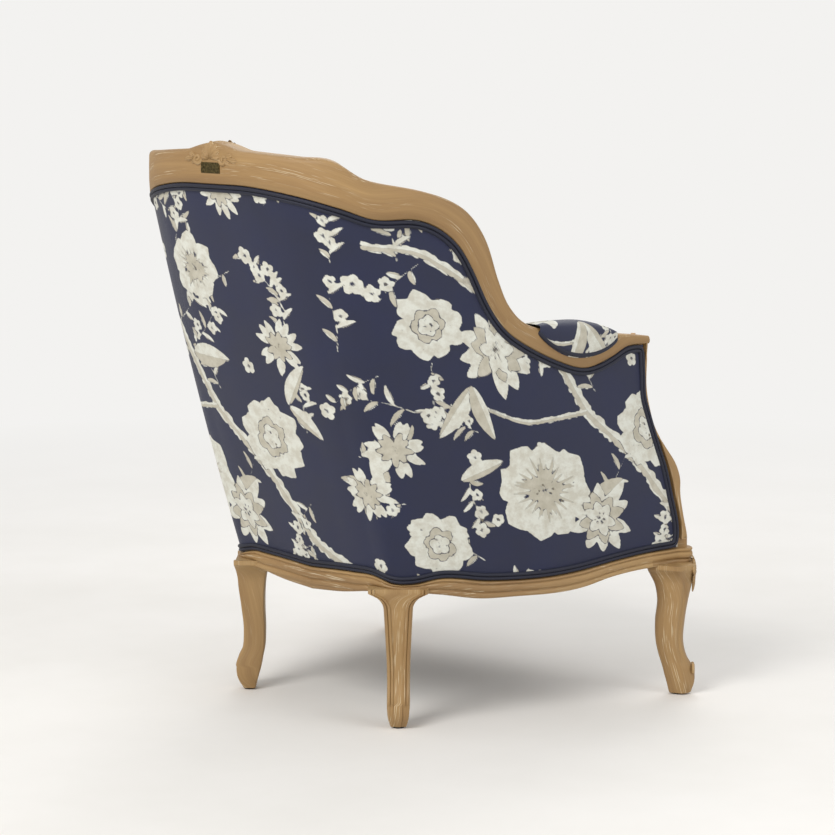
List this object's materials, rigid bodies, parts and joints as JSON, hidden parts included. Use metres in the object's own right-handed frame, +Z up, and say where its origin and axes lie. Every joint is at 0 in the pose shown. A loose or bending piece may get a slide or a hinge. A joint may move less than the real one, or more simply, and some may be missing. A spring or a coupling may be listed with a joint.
{
  "type": "upholstered armchair",
  "caption": "Low closed-arm armchair with a round back, show-wood frame on cabriole legs, floral fabric and a loose seat cushion.",
  "frame": {"origin": "centre of the chair's footprint, at floor level", "axes": "+Z up, +X towards the sitter's left, the chair faces -Y"},
  "size_m": [0.7706, 0.797, 0.961],
  "materials": {
    "oak": "limed natural oak, matt",
    "frame_wood": "sawn hardwood",
    "dowel_wood": "fluted beech",
    "screw_steel": "zinc plated",
    "printed_fabric": "satin weave, navy with a cream floral print",
    "welt_cord": "navy double piping",
    "deck_fabric": "plain navy cloth",
    "lining_cloth": "black lining",
    "spring_steel": "oiled spring wire",
    "glide_plastic": "black",
    "aged_brass": "dark aged"
  },
  "bodies": {
    "chair": {"rear_seat_rail": "oak", "front_seat_rail": "oak", "left_seat_rail": "oak", "right_seat_rail": "oak", "left_rear_leg": "oak", "right_rear_leg": "oak", "left_front_leg": "oak", "right_front_leg": "oak", "crest_rail": "oak", "left_shoulder_rail": "oak", "right_shoulder_rail": "oak", "left_arm_rail": "oak", "right_arm_rail": "oak", "left_arm_support": "oak", "right_arm_support": "oak", "left_back_post": "frame_wood", "right_back_post": "frame_wood", "back_stay_rail": "frame_wood", "left_arm_stay_rail": "frame_wood", "right_arm_stay_rail": "frame_wood", "corner_blocks": "frame_wood", "frame_dowels": "dowel_wood", "block_screws": "screw_steel", "outside_cover": "printed_fabric", "outside_welt": "welt_cord", "inside_back_pad": "printed_fabric", "left_inside_arm_pad": "printed_fabric", "right_inside_arm_pad": "printed_fabric", "left_arm_pad": "printed_fabric", "right_arm_pad": "printed_fabric", "seat_springs": "spring_steel", "spring_clips": "spring_steel", "deck_pad": "deck_fabric", "front_border": "printed_fabric", "dust_cover": "lining_cloth", "foot_glides": "glide_plastic", "crest_plate": "aged_brass", "plate_pins": "aged_brass"},
    "cushion": {"seat_cushion": "printed_fabric"}
  },
  "joints": [
    {"name": "cushion_lift", "type": "slide", "parent": "chair", "child": "cushion", "axis": [0, 0, 1], "range_m": [0, 0.3]}
  ]
}
